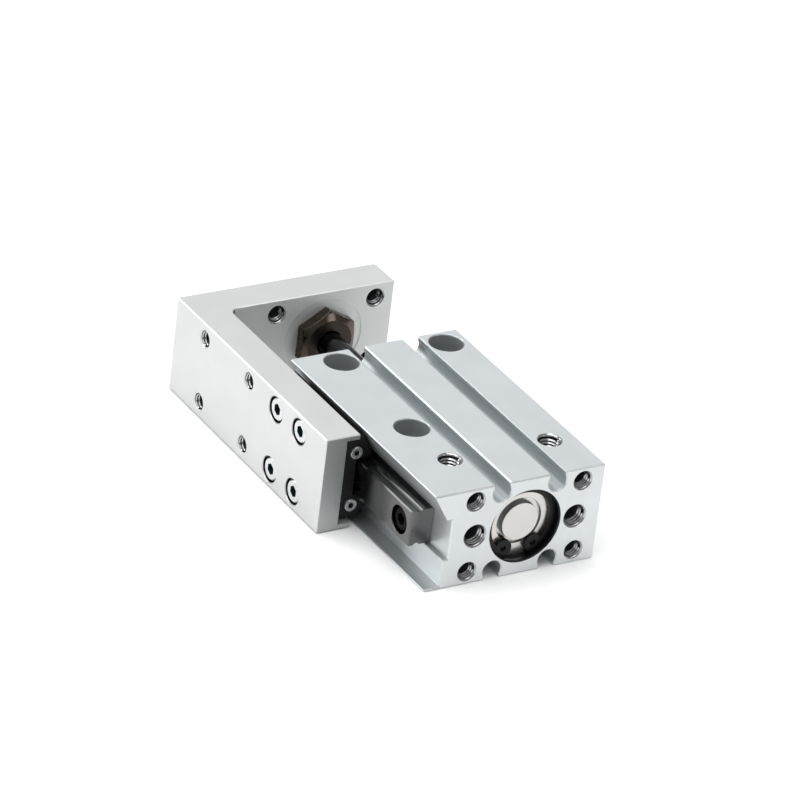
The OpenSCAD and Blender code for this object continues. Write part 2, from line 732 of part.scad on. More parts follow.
module piston_nut() color([0.7, 0.7, 0.72]) difference() {
    translate([0, piston_rear + nut_sink, 0]) rotate([-90, 0, 0])
        cylinder(d = nut_af / cos(30), h = nut_h, $fn = 6);
    y_rod(stud_d + 2 * seat, piston_rear, nut_h + 1);
}

cylinder_body();
head_cover();
head_cover_oring();
head_retaining_ring();
head_bumper();
rod_cover();
rod_cover_oring();
rod_cover_retaining_ring();
rod_seal();
rod_bushing();
rod_bumper();
guide_rail();
rail_screws();
slide_table();
carriage_block();
rear_end_cap();
front_end_cap();
rear_end_seal();
front_end_seal();
end_cap_screws();
guide_balls();
table_screws();
floating_bushing();
piston_rod();
piston();
piston_seal();
piston_magnet();
piston_wear_ring();
piston_nut();
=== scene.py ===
"""Finished pieces, finishes, stage and camera of a pneumatic slide table, round its frame."""

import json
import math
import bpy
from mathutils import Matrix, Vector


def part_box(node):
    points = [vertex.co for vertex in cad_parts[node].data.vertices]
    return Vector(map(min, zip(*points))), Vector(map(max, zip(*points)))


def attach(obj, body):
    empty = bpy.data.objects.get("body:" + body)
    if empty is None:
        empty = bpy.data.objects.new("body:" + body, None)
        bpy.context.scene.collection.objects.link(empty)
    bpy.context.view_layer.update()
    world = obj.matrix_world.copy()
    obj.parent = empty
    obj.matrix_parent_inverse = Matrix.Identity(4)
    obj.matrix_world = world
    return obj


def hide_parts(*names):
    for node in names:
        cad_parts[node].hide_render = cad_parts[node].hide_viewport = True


bl_info = {
    "name": "Pneumatic Slide Table",
    "version": (1, 0, 0),
    "blender": (4, 5, 0),
    "location": "3D View > Sidebar > Slide Table",
    "description": "Builds the finished pieces of a pneumatic slide table round its frame",
    "category": "Add Mesh",
}

import bpy
from bpy.props import FloatProperty, FloatVectorProperty, PointerProperty
from bpy.types import Operator, Panel, PropertyGroup
from mathutils import Euler, Matrix, Vector

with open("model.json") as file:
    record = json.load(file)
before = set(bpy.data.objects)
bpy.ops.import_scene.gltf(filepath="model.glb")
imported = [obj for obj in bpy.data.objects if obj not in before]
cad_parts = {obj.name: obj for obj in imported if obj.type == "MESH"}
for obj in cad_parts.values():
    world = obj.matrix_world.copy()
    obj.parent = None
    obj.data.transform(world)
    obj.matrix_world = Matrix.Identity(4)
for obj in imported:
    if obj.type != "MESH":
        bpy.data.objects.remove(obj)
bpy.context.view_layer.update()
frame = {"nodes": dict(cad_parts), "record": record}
NODES = frame["nodes"]

MM = 0.001
BODY = "body"
TABLE = "table"


def linear(code):
    """A linear colour from an sRGB hex code"""
    out = []
    for i in (0, 2, 4):
        c = int(code[i:i + 2], 16) / 255
        out.append(c / 12.92 if c <= 0.04045 else ((c + 0.055) / 1.055) ** 2.4)
    return tuple(out)


# ---- places and sizes of the frame ----

BODY_LOW, BODY_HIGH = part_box("cylinder_body")
TABLE_LOW, TABLE_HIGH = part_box("slide_table")

END_T = 9.1 * MM           # thickness of the end plate
SIDE_REACH = 6.0 * MM      # a little more than the thickness of the table's side
CORNER_R = 2.4 * MM        # fillet between the end plate and the table's side
LIP_GAP = 1.6 * MM         # space between the table's side and the body's lip
GROOVE_X = 7.25 * MM       # middle of the switch grooves
GROOVE_D = 4.7 * MM        # diameter of their round part
GROOVE_SINK = 2.15 * MM    # its centre, below the surface
RING_GROOVE_R = 9.5 * MM   # groove of the head cover's retaining ring
HEAD_BACK = 2.7 * MM       # rim of the head cover, below the rear face
BOSS_R = 4.7 * MM          # boss on the head cover
BOSS_MOAT = 1.0 * MM       # part of the groove round the boss that is painted as shade
HEAD_D = 5.5 * MM          # heads of the table's cap screws
HEAD_HOLE_R = 3.1 * MM     # counterbores over them
SOCKET_R = 1.5 * MM        # just outside their hexagon sockets
CAP_HEAD_D = 3.0 * MM      # heads of the end-cap screws
CAP_SOCKET_R = 0.8 * MM    # just outside their round sockets
HEXAGON_FACE_R = 5.6 * MM  # rear face of the bushing's hexagon, inside its chamfer
HEXAGON_RIM_H = 1.4 * MM   # how far that chamfer reaches from the face
BUSHING_BORE_R = 3.4 * MM  # just outside the hole in that face

INNER_Y = TABLE_HIGH.y - END_T    # inner face of the end plate
CORNER_X = BODY_LOW.x - LIP_GAP   # inner face of the table's side

# How far the tests that pick faces reach past a nominal size, and below a surface
NEAR = 0.1 * MM
SKIN = 0.05 * MM
# The chamfer at the mouth of a tapped hole: its reach past the hole, and its depth
MOUTH = 0.6 * MM
MOUTH_H = 0.45 * MM

INTO_X, INTO_Y, DOWN = (1, 0, 0), (0, 1, 0), (0, 0, -1)
# The turn that points +Z each of these ways
TURNS = {
    INTO_X: Euler((0, math.pi / 2, 0)),
    INTO_Y: Euler((-math.pi / 2, 0, 0)),
    DOWN: Euler((math.pi, 0, 0)),
}


def mount(name):
    """Position of a mount of the record, in metres, and its dimensions"""
    found = [m for m in frame["record"]["mounts"] if m["name"] == name][0]
    return Vector(found["pos_m"]), found.get("dims", {})


def pattern(name):
    """Places of a bolt pattern's four holes about its middle, in metres"""
    dims = mount(name)[1]
    a, b = dims["spacing_x_mm"] / 2 * MM, dims["spacing_y_mm"] / 2 * MM
    return [(u, v) for u in (-a, a) for v in (-b, b)]


class Holes:
    """Holes of one kind: their mouths, the way into them and the radius their mount states"""

    def __init__(self, name, mouths, into):
        dims = mount(name)[1]
        self.radius = dims.get("hole_r_mm", dims.get("r_mm")) * MM
        self.mouths = mouths
        self.into = into


def body_bolt_mouths():
    """Tops of the three bolt holes that go down through the body"""
    guide_side, dims = mount("body_bolts_guide_side")
    reach = dims["spacing_y_mm"] / 2 * MM
    plain_side = mount("body_bolt_plain_side")[0]
    return [(guide_side.x, guide_side.y - reach, BODY_HIGH.z),
            (guide_side.x, guide_side.y + reach, BODY_HIGH.z),
            (plain_side.x, plain_side.y, BODY_HIGH.z)]


def screw_tops():
    """Tops of the table's four cap screws, from the corners of their box"""
    low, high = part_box("table_screws")
    r = HEAD_D / 2
    return [Vector((low.x, y, z)) for y in (low.y + r, high.y - r)
            for z in (low.z + r, high.z - r)]


SIDE_MIDDLE = mount("table_side_bolts")[0]
REAR_PORTS = Holes("rear_port_left", [
    (at.x, 0, at.z) for at, _ in (mount("rear_port_left"), mount("rear_port_right"))], INTO_Y)
TOP_PORTS = Holes("top_port_left", [
    (at.x, at.y, BODY_HIGH.z)
    for at, _ in (mount("top_port_left"), mount("top_port_right"))], DOWN)
REAR_BOLTS = Holes("rear_bolts", [(x, 0, z) for x, z in pattern("rear_bolts")], INTO_Y)
BODY_BOLTS = Holes("body_bolt_plain_side", body_bolt_mouths(), DOWN)
SIDE_BOLTS = Holes("table_side_bolts", [
    (TABLE_LOW.x, SIDE_MIDDLE.y + y, z) for y, z in pattern("table_side_bolts")], INTO_X)
END_BOLTS = Holes("end_plate_bolts", [
    (x, INNER_Y, z) for x, z in pattern("end_plate_bolts")], INTO_Y)


# ---- what a user would change ----

def length(name, default, low, high, description):
    """A length property, from values in millimetres"""
    return FloatProperty(
        name=name, description=description, default=default * MM, min=low * MM,
        max=high * MM, unit="LENGTH")


def watts(name, default, description):
    """The power property of a light, in watts"""
    return FloatProperty(
        name=name, description=description, default=default, min=0.0, max=200.0,
        unit="POWER")


def colour(name, code, description):
    """A colour property, from its hex code"""
    return FloatVectorProperty(
        name=name, description=description, default=linear(code), size=3,
        subtype="COLOR", min=0.0, max=1.0)


class SlideTableSizes(PropertyGroup):
    """Sizes of the finishing details and of the stage"""
    table_edge: length(
        "Table Edge Break", 0.20, 0.02, 0.4, "Width of the chamfer on the table's edges")
    body_edge: length(
        "Body Edge Break", 0.30, 0.02, 0.4, "Width of the chamfer on the body's edges")
    rail_edge: length(
        "Rail Edge Break", 0.12, 0.02, 0.4, "Width of the chamfer on the rail's edges")
    fine_edge: length(
        "Fine Edge", 0.10, 0.02, 0.3, "Width of the chamfer on screws and turned pieces")
    moulded_edge: length(
        "Moulded Edge", 0.12, 0.02, 0.4, "Rounding of the plastic and rubber pieces")
    port_pitch: length(
        "Port Thread Pitch", 0.8, 0.5, 1.0, "Pitch of the M5 air port threads")
    bolt_pitch: length(
        "Bolt Thread Pitch", 0.7, 0.5, 0.8, "Pitch of the M4 bolt threads")
    floor_reach: length("Floor Reach", 6000, 1000, 12000, "Length of the floor's side")
    key_power: watts("Overhead Light", 13.0, "Power of the softbox overhead")
    side_power: watts("Side Light", 2.4, "Power of the softbox on the table's side")
    back_power: watts("Back Light", 2.4, "Power of the softbox beyond the end plate")
    edge_power: watts("Edge Light", 3.4, "Power of the softbox beyond the table's corner")
    fill_power: watts("Fill Light", 0.8, "Power of the softbox behind the ports")
    room_level: FloatProperty(
        name="Room Level", description="Brightness of the even light of the room",
        default=0.35, min=0.0, max=3.0)


class SlideTableColours(PropertyGroup):
    """Base colours of the finishes"""
    extrusion: colour("Extrusion", "D4D9DB", "Clear anodised drawn sides of the body")
    groove: colour("Groove", "BFC5C7", "Drawn walls of the switch grooves")
    cut_end: colour("Cut End", "D8DCDD", "Milled and anodised ends of the body")
    table: colour("Table", "D5D7D6", "Milled and anodised table")
    turned: colour("Turned", "D4D2CF", "Bare turned aluminium of the covers")
    rail: colour("Rail", "6C6C6B", "Hardened and ground rail steel")
    black_oxide_and_shade: colour("Black Oxide", "0C0C0D", "Blackened screw steel, and painted shade in the bushing's bore")
    spring: colour("Spring Steel", "0E0E10", "Phosphated spring steel of the rings")
    zinc: colour("Zinc Plate", "D9DBDC", "Zinc plated and passivated screw steel")
    socket_tint_and_shade: colour("Socket Tint And Shade", "2F4F4B", "Tint of the plating inside the sockets, darkened as painted shade")
    bronzed: colour("Bronzed Steel", "443D37", "Dark bronzed steel of the bushing")
    bronzed_edge_highlight: colour("Bronzed Edge Highlight", "574E47", "Chamfer of the bushing, lighter as a painted highlight")
    rod: colour("Rod", "4A4A4C", "Ground stainless steel of the piston rod")
    ball: colour("Ball", "C9CACC", "Lapped bearing steel of the balls")
    nitrile: colour("Nitrile", "0B0B0B", "Moulded seal rubber")
    acetal: colour("Acetal", "111112", "Moulded black plastic of the end caps")
    bumper: colour("Bumper", "24407A", "Moulded polyurethane of the cushions")
    bronze: colour("Sintered Bronze", "A58A5C", "Oil filled bronze of the rod bushing")
    magnet: colour("Magnet", "2A2A2D", "Plastic bonded magnet")
    wear: colour("Wear Ring", "CFC5A5", "Filled plastic of the wear ring")
    # Dark painted shade in holes, sockets, grooves and corners
    painted_deep_shade: colour("Painted Deep Shade", "2C2E30", "Painted shade in holes, sockets, grooves and corners")
    # Grey painted shade in the counterbores and round the boss
    painted_soft_shade: colour("Painted Soft Shade", "8A8E90", "Walls and floors of the counterbores")
    rear_end_shade: colour("Rear End Shade", "AEB0B0", "Rear end of the table")
    tapped: colour("Tapped", "B4B6B7", "Bare ridges of the threads and their mouths")
    floor: colour("Floor", "FAFAFA", "Plain pale floor")


def sizes():
    """The sizes that the user has set"""
    return bpy.context.scene.slide_table_sizes


def colours():
    """The colours that the user has set"""
    return bpy.context.scene.slide_table_colours


# ---- working on a mesh as by hand ----

def select_only(obj):
    """Deselects everything and makes one object selected and active"""
    if bpy.context.object and bpy.context.object.mode != "OBJECT":
        bpy.ops.object.mode_set(mode="OBJECT")
    bpy.ops.object.select_all(action="DESELECT")
    obj.select_set(True)
    bpy.context.view_layer.objects.active = obj


def edit(obj, *steps):
    """Runs steps in edit mode with the whole mesh selected"""
    select_only(obj)
    bpy.ops.object.mode_set(mode="EDIT")
    bpy.ops.mesh.select_all(action="SELECT")
    for step in steps:
        step()
    bpy.ops.object.mode_set(mode="OBJECT")


def apply_modifiers(obj):
    """Applies every modifier of the object"""
    select_only(obj)
    for modifier in list(obj.modifiers):
        bpy.ops.object.modifier_apply(modifier=modifier.name)


def settle(obj):
    """Moves the object's place into its mesh"""
    select_only(obj)
    bpy.ops.object.transform_apply(location=True, rotation=True, scale=True)


def smooth(obj, degrees):
    """Shades edges that turn by less than an angle as one surface"""
    select_only(obj)
    bpy.ops.object.shade_smooth_by_angle(angle=math.radians(degrees))


def flatten_faces(obj):
    """Turns the normals so that large faces stay flat and broken edges look round"""
    weighted = obj.modifiers.new("Face Weight", "WEIGHTED_NORMAL")
    weighted.mode = "FACE_AREA"
    weighted.weight = 100
    weighted.keep_sharp = True
    apply_modifiers(obj)


MERGE = 0.001 * MM  # corners nearer than this are one
FLAT = 0.4          # faces that turn by less than this many degrees are one

# Two angles in degrees: edges that turn by more than the first are broken, and those that turn
# by less than the second are shaded as one surface
SHARP = (28, 40)
CHAMFERED = (65, 28)  # for nodes whose main edges have their chamfers already


def dressed(node, name, edge, segments=1, angles=SHARP):
    """A merged copy of a frame node with its sharp edges broken, which stands for the node"""
    obj = bpy.data.objects.new(name, NODES[node].data.copy())
    bpy.context.scene.collection.objects.link(obj)
    obj.data.name = name
    edit(
        obj,
        lambda: bpy.ops.mesh.remove_doubles(threshold=MERGE),
        lambda: bpy.ops.mesh.dissolve_limited(angle_limit=math.radians(FLAT)),
    )
    bevel = obj.modifiers.new("Edge Break", "BEVEL")
    bevel.width = edge
    bevel.segments = segments
    bevel.limit_method = "ANGLE"
    bevel.angle_limit = math.radians(angles[0])
    bevel.use_clamp_overlap = False
    bevel.harden_normals = False
    apply_modifiers(obj)
    smooth(obj, angles[1])
    flatten_faces(obj)
    return obj


def finish_with(obj, *names):
    """Gives the object these finishes, the first on all of its faces"""
    obj.data.materials.clear()
    for name in names:
        obj.data.materials.append(finishes[name])
    for face in obj.data.polygons:
        face.material_index = 0


def paint_faces(obj, name, test):
    """Gives the faces that pass the test another of the object's finishes"""
    index = list(obj.data.materials).index(finishes[name])
    for face in obj.data.polygons:
        if test(face):
            face.material_index = index


def in_bore(at, into, radius, start, end):
    """A test for faces in a round hole, from start to end below its mouth"""
    at, into = Vector(at), Vector(into)

    def test(face):
        reach = face.center - at
        depth = reach.dot(into)
        return start < depth < end and (reach - into * depth).length < radius

    return test


def paint_holes(obj, name, holes, past, start, end):
    """Paints the faces up to past outside the holes' radius, from start to end below a mouth"""
    for mouth in holes.mouths:
        paint_faces(obj, name, in_bore(mouth, holes.into, holes.radius + past, start, end))


def paint_tapped(obj, holes, depth):
    """Paints the chamfers at the mouths of tapped holes bare, and their walls down to depth
    dark as painted shade
    """
    paint_holes(obj, "tapped", holes, MOUTH, SKIN, MOUTH_H)
    paint_holes(obj, "painted_deep_shade", holes, NEAR, MOUTH_H, depth)


def stand_for(obj, node, body):
    """Lets the object stand for a node and move with its body"""
    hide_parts(node)
    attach(obj, body)


# ---- finishes ----

def add_node(tree, kind, settings=None, links=None):
    """Adds a shader node with its settings and links"""
    node = tree.nodes.new(kind)
    for key, value in (settings or {}).items():
        if isinstance(key, int) or key in node.inputs:
            node.inputs[key].default_value = value
        else:
            setattr(node, key, value)
    for key, socket in (links or {}).items():
        tree.links.new(socket, node.inputs[key])
    return node


def ring_scale(width):
    """Scale of a wave texture whose lines are this far apart, in metres"""
    return 2 * math.pi / (20 * width)


def surface(name, tint, metallic, roughness, grain, spread=0.06, depth=0.01, shade=0.06,
            rings=None, specular=0.5):
    """A material with a stretched grain, roughness that follows it, and a slow change of shade.

    grain is the size of the tool marks along X, Y and Z in millimetres. depth is their height
    in millimetres. rings is the pitch of turned rings round the cylinder axis in millimetres.
    Ground, lapped and moulded marks are really finer than 0.1 mm and wouldn't show, so they
    are drawn at 0.1 to 0.4 mm.
    """
    material = bpy.data.materials.new(name)
    material.use_nodes = True
    tree = material.node_tree
    tree.nodes.clear()
    place = add_node(tree, "ShaderNodeTexCoord").outputs["Object"]
    stretched = add_node(tree, "ShaderNodeMapping", {
        "Scale": [1 / (size * MM) for size in grain]}, {"Vector": place})
    marks = add_node(tree, "ShaderNodeTexNoise", {
        "Scale": 1.0, "Detail": 3.0, "Roughness": 0.6}, {"Vector": stretched.outputs[0]})
    height = marks.outputs["Fac"]
    if rings:
        turned = add_node(tree, "ShaderNodeTexWave", {
            "wave_type": "RINGS", "rings_direction": "Y", "Scale": ring_scale(rings * MM),
            "Distortion": 0.6, "Detail": 1.0}, {"Vector": place})
        height = add_node(tree, "ShaderNodeMix", {
            "data_type": "FLOAT", 0: 0.65},
            {2: marks.outputs["Fac"], 3: turned.outputs["Fac"]}).outputs[0]
    # Patches of about 11 mm
    slow = add_node(tree, "ShaderNodeTexNoise", {
        "Scale": 90.0, "Detail": 2.0}, {"Vector": place})
    dark = tuple(c * (1 - 2 * shade) for c in tint) + (1,)
    light = tuple(min(1, c * (1 + 0.5 * shade)) for c in tint) + (1,)
    mixed = add_node(tree, "ShaderNodeMath", {"operation": "MULTIPLY_ADD", 1: 0.45},
                     {0: height, 2: slow.outputs["Fac"]})
    fade = add_node(tree, "ShaderNodeMapRange", {
        "From Min": 0.45, "From Max": 1.0}, {"Value": mixed.outputs[0]})
    shaded = add_node(tree, "ShaderNodeMix", {
        "data_type": "RGBA", 6: dark, 7: light}, {0: fade.outputs[0]})
    rough = add_node(tree, "ShaderNodeMapRange", {
        "From Min": 0.3, "From Max": 0.7, "To Min": roughness - spread,
        "To Max": roughness + spread}, {"Value": height})
    bump = add_node(tree, "ShaderNodeBump", {
        "Strength": 0.5, "Distance": depth * MM}, {"Height": height})
    shader = add_node(tree, "ShaderNodeBsdfPrincipled", {
        "Metallic": metallic, "Specular IOR Level": specular},
        {"Base Color": shaded.outputs[2], "Roughness": rough.outputs[0],
         "Normal": bump.outputs[0]})
    add_node(tree, "ShaderNodeOutputMaterial", None, {"Surface": shader.outputs[0]})
    return material


finishes = {}


def make_finishes():
    """Makes every material of the object"""
    c = colours()
    # Extruded aluminium, clear anodised: satin, with faint die lines along its length
    finishes["extrusion"] = surface(
        "Aluminium Extruded Clear Anodised", c.extrusion, 0.82, 0.36, (0.25, 14, 0.25),
        spread=0.05, depth=0.006, shade=0.03)
    # The same inside the switch grooves: rougher, and darker as painted shade in the grooves
    finishes["groove"] = surface(
        "Aluminium Extruded Groove", c.groove, 0.8, 0.42, (0.25, 14, 0.25),
        spread=0.05, depth=0.008, shade=0.05)
    # The same aluminium where a cutter has passed: finer, without the die lines
    finishes["cut_end"] = surface(
        "Aluminium Milled End Clear Anodised", c.cut_end, 0.78, 0.38, (1.4, 0.3, 0.22),
        spread=0.05, depth=0.006, shade=0.035)
    # Face-milled aluminium under clear anodising: near white, fine even tool marks
    finishes["table"] = surface(
        "Aluminium Face Milled Clear Anodised", c.table, 0.72, 0.38, (0.3, 3.0, 0.22),
        spread=0.05, depth=0.005, shade=0.025)
    # The inner face of the end plate, milled across: marks run up and down
    finishes["table_inner"] = surface(
        "Aluminium Side Milled Clear Anodised", c.table, 0.62, 0.50, (0.35, 0.3, 9.0),
        spread=0.04, depth=0.004, shade=0.03)
    # The rear end of the table, cut across: greyer as painted shade, with marks along the cut
    finishes["rear_end_shade"] = surface(
        "Aluminium Cut Across Clear Anodised", c.rear_end_shade, 0.8, 0.40, (3.0, 0.3, 0.2),
        spread=0.05, depth=0.006, shade=0.05)
    # Painted shade in drilled holes, sockets, grooves and corners: dark metal
    finishes["painted_deep_shade"] = surface(
        "Aluminium Drilled", c.painted_deep_shade, 0.85, 0.32, (0.3, 0.3, 0.3), spread=0.05,
        depth=0.005, shade=0.08)
    # Walls and floors of the counterbores, and the groove round the boss: grey and dull, as
    # painted shade
    finishes["painted_soft_shade"] = surface(
        "Aluminium Counterbored Anodised", c.painted_soft_shade, 0.3, 0.50, (0.3, 0.3, 0.3),
        spread=0.05, depth=0.005, shade=0.06)
    # Ridges of tapped threads and the chamfers at their mouths: sharp, bright cuts
    finishes["tapped"] = surface(
        "Aluminium Tapped", c.tapped, 0.95, 0.20, (0.3, 0.3, 0.3), spread=0.05,
        depth=0.004, shade=0.05)
    # Turned bare aluminium: bright, with rings left by the tool
    finishes["turned"] = surface(
        "Aluminium Turned Bare", c.turned, 0.95, 0.22, (0.3, 0.3, 0.3), spread=0.06,
        depth=0.006, shade=0.05, rings=0.28)
    # Hardened stainless steel, ground lengthwise: mid grey with long fine lines
    finishes["rail"] = surface(
        "Stainless Steel Hardened Ground", c.rail, 1.0, 0.20, (0.2, 12, 0.2), spread=0.04,
        depth=0.002, shade=0.05)
    # Alloy steel, black oxide, made as black as painted shade deep in the rail's holes; also
    # painted in the bushing's bore as shade
    finishes["black_oxide_and_shade"] = surface(
        "Alloy Steel Black Oxide", c.black_oxide_and_shade, 0.0, 0.45, (0.2, 0.2, 0.2), shade=0.08,
        specular=0.05)
    # Spring steel, stamped and phosphated: black, fine and dull
    finishes["spring"] = surface(
        "Spring Steel Stamped Phosphated", c.spring, 0.5, 0.42, (0.16, 0.16, 0.16),
        spread=0.08, depth=0.008, shade=0.1)
    # Steel screws, zinc plated and passivated: bright and cool
    finishes["zinc"] = surface(
        "Steel Zinc Plated Passivated", c.zinc, 0.9, 0.30, (0.3, 0.3, 0.3), spread=0.06,
        depth=0.004, shade=0.05)
    # The same plating in the sockets: teal from the plating's tint, darkened as painted shade
    # in the sockets
    finishes["socket_tint_and_shade"] = surface(
        "Steel Zinc Plated Socket", c.socket_tint_and_shade, 0.75, 0.34, (0.3, 0.3, 0.3), spread=0.06,
        depth=0.004, shade=0.15)
    # Steel, turned and bronzed: dark brown with soft highlights
    finishes["bronzed"] = surface(
        "Steel Turned Bronzed", c.bronzed, 0.9, 0.32, (0.5, 0.5, 0.5), spread=0.06,
        depth=0.003, shade=0.10, rings=0.35)
    # The chamfer of the same piece: glossier, and lighter as a painted highlight
    finishes["bronzed_edge_highlight"] = surface(
        "Steel Turned Bronzed Rubbed", c.bronzed_edge_highlight, 0.95, 0.17, (0.5, 0.5, 0.5),
        spread=0.04, depth=0.002, shade=0.12)
    # Stainless steel, ground and polished, darkened as a painted reflection of the dark parts
    # round it: dark mirror with rings round it
    finishes["rod"] = surface(
        "Stainless Steel Ground Polished", c.rod, 1.0, 0.16, (0.4, 0.15, 0.4), spread=0.05,
        depth=0.003, shade=0.12)
    # Nitrile rubber, moulded: deep black and matt
    finishes["nitrile"] = surface(
        "Nitrile Rubber Moulded", c.nitrile, 0.0, 0.62, (0.15, 0.15, 0.15), spread=0.06,
        depth=0.01, shade=0.15, specular=0.35)
    # Acetal, moulded: black with a soft sheen
    finishes["acetal"] = surface(
        "Acetal Moulded Black", c.acetal, 0.0, 0.42, (0.2, 0.2, 0.2), spread=0.06,
        depth=0.008, shade=0.12, specular=0.45)
    # Polyurethane, moulded: blue and slightly glossy
    finishes["bumper"] = surface(
        "Polyurethane Moulded", c.bumper, 0.0, 0.45, (0.3, 0.3, 0.3), shade=0.08)
    # Bronze, sintered: grainy, with a dull metallic sheen
    finishes["bronze"] = surface(
        "Bronze Sintered Oil Filled", c.bronze, 0.9, 0.5, (0.08, 0.08, 0.08), spread=0.1,
        depth=0.02, shade=0.15)
    # Plastic bonded magnet: dark grey, matt, with specks
    finishes["magnet"] = surface(
        "Ferrite Plastic Bonded", c.magnet, 0.2, 0.55, (0.1, 0.1, 0.1), shade=0.15)
    # Filled plastic: ivory and matt
    finishes["wear"] = surface(
        "Polytetrafluoroethylene Filled", c.wear, 0.0, 0.5, (0.2, 0.2, 0.2), shade=0.06)
    # Balls of bearing steel, lapped: mirror-like
    finishes["ball"] = surface(
        "Bearing Steel Lapped", c.ball, 1.0, 0.08, (0.4, 0.4, 0.4), spread=0.02,
        depth=0.0005, shade=0.02)
    # Paper board of the floor: white and matt, nearly even
    finishes["floor"] = surface(
        "Paper Board Matt", c.floor, 0.0, 0.9, (2.0, 2.0, 2.0), spread=0.03, depth=0.001,
        shade=0.004, specular=0.1)


class SLIDETABLE_OT_finishes(Operator):
    """Make the materials of every piece"""
    bl_idname = "slide_table.finishes"
    bl_label = "Finishes"

    def execute(self, context):
        make_finishes()
        return {"FINISHED"}


# ---- threads ----

# A thread's ridge, as shares of its pitch: its height, and half its width at its middle and
# at its crest
RIDGE_H = 0.54
MIDDLE_HALF = 0.4375
CREST_HALF = 0.125
SUNK = 0.06 * MM  # how far the root of the ridge lies inside the wall
COIL_STEPS = 40   # straight pieces in one turn


def thread_coil(name, major, pitch, turns):
    """One helical ridge of an internal thread, from Z = 0 up"""
    depth = RIDGE_H * pitch
    middle = (major - depth + SUNK) / 2
    bpy.ops.object.select_all(action="DESELECT")
    bpy.ops.mesh.primitive_circle_add(
        vertices=6, radius=1.0, location=(middle, 0, pitch / 2), rotation=(math.pi / 2, 0, 0))
    obj = bpy.context.object
    obj.name = name
    obj.scale = ((depth + SUNK) / 2 / math.cos(math.pi / 6), MIDDLE_HALF * pitch, 1.0)
    settle(obj)
    for vertex in obj.data.vertices:
        at_crest = vertex.co.x - middle < -0.1 * depth
        if at_crest:
            side = 1 if vertex.co.z > pitch / 2 else -1
            vertex.co.z = pitch / 2 + side * CREST_HALF * pitch
    screw = obj.modifiers.new("Helix", "SCREW")
    screw.axis = "Z"
    screw.angle = 2 * math.pi
    screw.screw_offset = pitch
    screw.iterations = turns
    screw.steps = COIL_STEPS
    screw.render_steps = COIL_STEPS
    screw.use_smooth_shade = True
    apply_modifiers(obj)
    edit(
        obj,
        lambda: bpy.ops.mesh.remove_doubles(threshold=MERGE / 2),
        lambda: bpy.ops.mesh.fill_holes(sides=0),
        lambda: bpy.ops.mesh.select_all(action="SELECT"),
        lambda: bpy.ops.mesh.normals_make_consistent(inside=False),
    )
    return obj


def thread_group(name, holes, body, pitch, turns, start, bright):
    """Puts a thread's ridge in each of these holes, from start below its mouth.

    The turns are bare metal as far down as bright, and painted dark below it as shade deep in
    the hole.
    """
    coil = thread_coil(name, 2 * holes.radius, pitch, turns)
    finish_with(coil, "tapped", "painted_deep_shade")
    paint_faces(coil, "painted_deep_shade", lambda face: face.center.z > bright)
    turn = TURNS[holes.into].to_matrix().to_4x4()
    copies = []
    for mouth in holes.mouths:
        copy = bpy.data.objects.new(name, coil.data.copy())
        bpy.context.scene.collection.objects.link(copy)
        copy.data.transform(
            Matrix.Translation(mouth) @ turn @ Matrix.Translation((0, 0, start)))
        copies.append(copy)
    bpy.data.objects.remove(coil)
    bpy.ops.object.select_all(action="DESELECT")
    for copy in copies:
        copy.select_set(True)
    bpy.context.view_layer.objects.active = copies[0]
    bpy.ops.object.join()
    obj = bpy.context.object
    obj.name = name
    smooth(obj, 35)
    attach(obj, body)


class SLIDETABLE_OT_threads(Operator):
    """Add the helical threads of the ports and the bolt holes"""
    bl_idname = "slide_table.threads"
    bl_label = "Threads"

    def execute(self, context):
        s = sizes()
        thread_group(
            "rear_port_threads", REAR_PORTS, BODY, s.port_pitch,
            turns=6, start=0.3 * MM, bright=2.2 * MM)
        thread_group(
            "top_port_threads", TOP_PORTS, BODY, s.port_pitch,
            turns=6, start=0.3 * MM, bright=3.0 * MM)
        thread_group(
            "rear_bolt_threads", REAR_BOLTS, BODY, s.bolt_pitch,
            turns=10, start=0.3 * MM, bright=2.2 * MM)
        thread_group(
            "table_side_threads", SIDE_BOLTS, TABLE, s.bolt_pitch,
            turns=7, start=0.15 * MM, bright=1.2 * MM)
        thread_group(
            "end_plate_threads", END_BOLTS, TABLE, s.bolt_pitch,
            turns=11, start=0.45 * MM, bright=1.6 * MM)
        return {"FINISHED"}


# ---- pieces of the body ----

